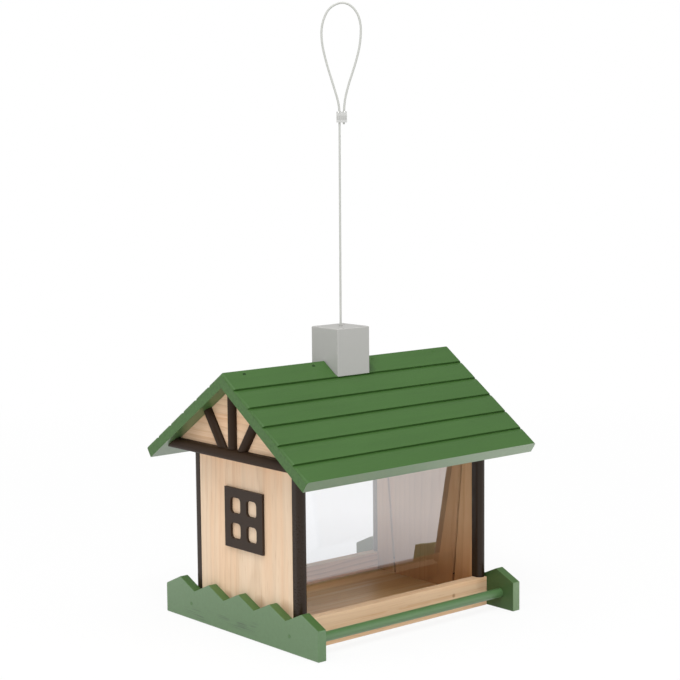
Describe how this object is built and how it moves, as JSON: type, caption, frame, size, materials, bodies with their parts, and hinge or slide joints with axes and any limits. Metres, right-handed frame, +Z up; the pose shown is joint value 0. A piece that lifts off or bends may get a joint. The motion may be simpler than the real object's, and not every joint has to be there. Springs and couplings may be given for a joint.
{
  "type": "hanging bird feeding house",
  "caption": "Wooden bird feeding house with a grooved saddle roof that lifts up its hanging wire, clear seed panes, zig-zag end boards and perches.",
  "frame": {"origin": "centre of the underside of the house, on the surface it stands on", "axes": "+X along the ridge towards the right gable, -Y towards the front perch, +Z up along the hanging wire"},
  "size_m": [0.2522, 0.2144, 0.5155],
  "materials": {
    "green_paint": "satin green paint with the grain showing faintly",
    "bare_pine": "planed bare pine",
    "dark_stain": "dark brown stain, silk sheen",
    "grey_paint": "matt grey paint",
    "clear_sheet": "clear polished sheet",
    "wire_rope": "fine stranded wire",
    "sleeve_metal": "pressed, dull",
    "plain_steel": "plain wire steel"
  },
  "bodies": {
    "house": {"left_end_board": "green_paint", "right_end_board": "green_paint", "front_perch": "green_paint", "rear_perch": "green_paint", "floor_board": "bare_pine", "front_rail": "bare_pine", "rear_rail": "bare_pine", "left_end_wall": "bare_pine", "right_end_wall": "bare_pine", "carrier_bar": "bare_pine", "front_left_post": "dark_stain", "front_right_post": "dark_stain", "rear_left_post": "dark_stain", "rear_right_post": "dark_stain", "left_window_frame": "dark_stain", "right_window_frame": "dark_stain", "front_pane": "clear_sheet", "rear_pane": "clear_sheet", "hanging_cord": "wire_rope", "loop_ferrule": "sleeve_metal", "cord_stop": "sleeve_metal", "stop_washer": "plain_steel", "pane_pins": "plain_steel", "end_board_nails": "plain_steel", "rail_nails": "plain_steel", "floor_nails": "plain_steel"},
    "roof": {"front_roof_panel": "green_paint", "rear_roof_panel": "green_paint", "chimney": "grey_paint", "left_gable_panel": "bare_pine", "right_gable_panel": "bare_pine", "left_tie_beam": "dark_stain", "right_tie_beam": "dark_stain", "left_king_post": "dark_stain", "right_king_post": "dark_stain", "left_front_brace": "dark_stain", "left_rear_brace": "dark_stain", "right_front_brace": "dark_stain", "right_rear_brace": "dark_stain", "ridge_nails": "plain_steel"}
  },
  "joints": [
    {"name": "roof_lift", "type": "slide", "parent": "house", "child": "roof", "axis": [0, 0, 1], "range_m": [0, 0.165]}
  ]
}
